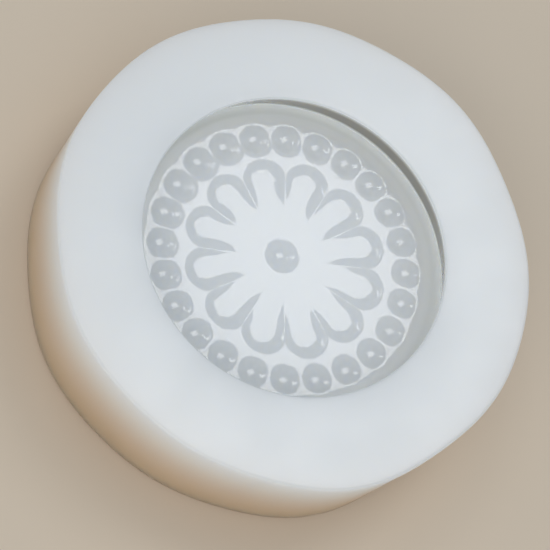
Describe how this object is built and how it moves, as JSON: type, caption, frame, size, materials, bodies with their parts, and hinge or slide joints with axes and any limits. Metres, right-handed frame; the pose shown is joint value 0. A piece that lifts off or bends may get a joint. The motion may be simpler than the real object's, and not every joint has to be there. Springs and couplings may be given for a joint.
{
  "type": "resin casting mould",
  "caption": "Round block mould of soft silicone rubber with an undercut casting cavity: a petalled flower inside a ring of half-round beads.",
  "frame": {"origin": "centre of the flat underside, on the axis of the casting cavity", "axes": "+Z out of the cavity, along its axis; +X through the middle of one bead dent and one petal of the flower"},
  "size_m": [0.1011, 0.1029, 0.027],
  "materials": {
    "silicone": "satin"
  },
  "bodies": {
    "root": {"mould_block": "silicone"}
  },
  "joints": []
}
